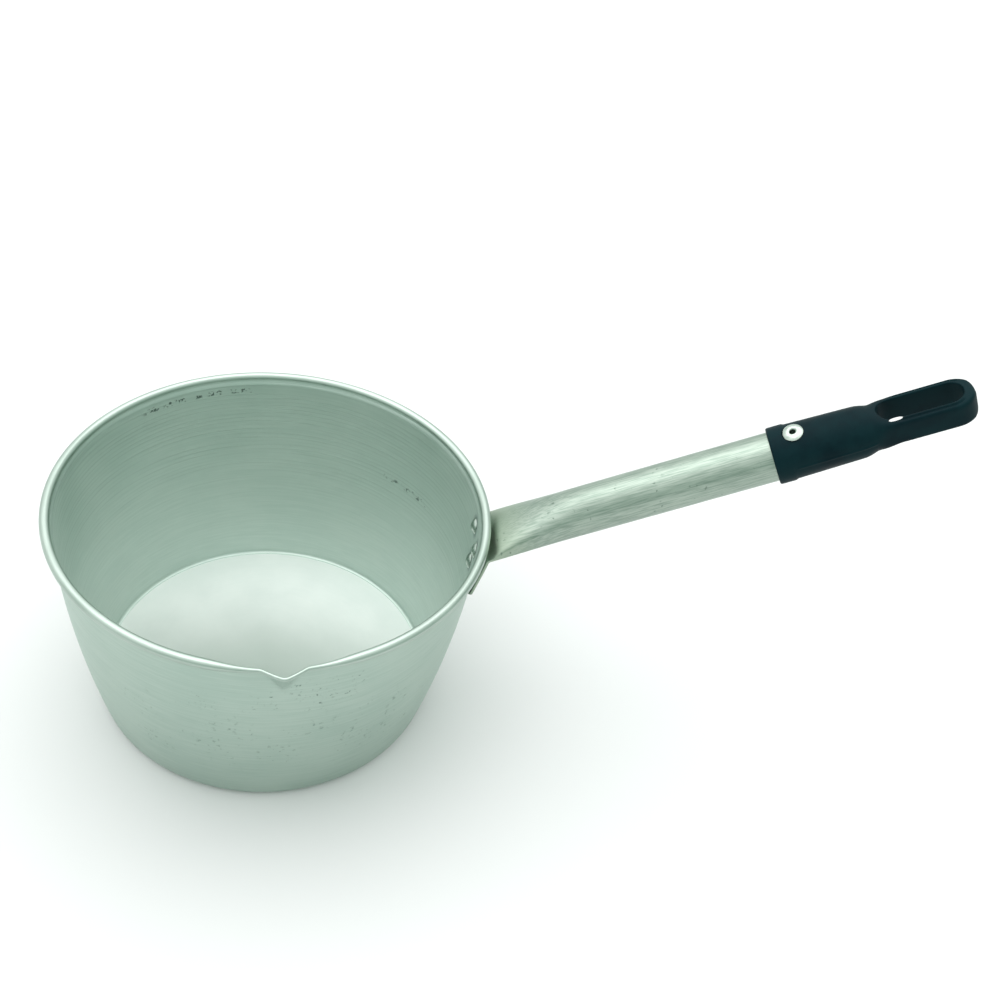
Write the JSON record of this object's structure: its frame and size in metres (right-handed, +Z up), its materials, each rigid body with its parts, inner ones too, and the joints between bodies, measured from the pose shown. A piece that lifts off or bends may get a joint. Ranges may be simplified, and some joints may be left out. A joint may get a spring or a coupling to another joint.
{
  "type": "candle melting pot",
  "caption": "Spun aluminium pot with a rolled rim, a pressed pouring spout, a riveted tubular handle and a black hanging grip.",
  "frame": {"origin": "centre of the underside of the pot's base", "axes": "+Z up through the pot's mouth, +X towards the handle and its grip, the spout about 81 degrees from the handle towards -Y"},
  "size_m": [0.3994, 0.202, 0.2104],
  "materials": {
    "pot_aluminium": "spun satin",
    "tube_aluminium": "drawn satin",
    "rivet_aluminium": "semi-bright",
    "grip_plastic": "semi-matte moulded",
    "mandrel_steel": "dull"
  },
  "bodies": {
    "pot": {"pot_body": "pot_aluminium", "handle_tube": "tube_aluminium", "handle_rivet_near": "rivet_aluminium", "handle_rivet_far": "rivet_aluminium", "handle_rivet_lower": "rivet_aluminium", "grip": "grip_plastic", "grip_rivet_sleeve": "rivet_aluminium", "grip_rivet_mandrel": "mandrel_steel"}
  },
  "joints": []
}
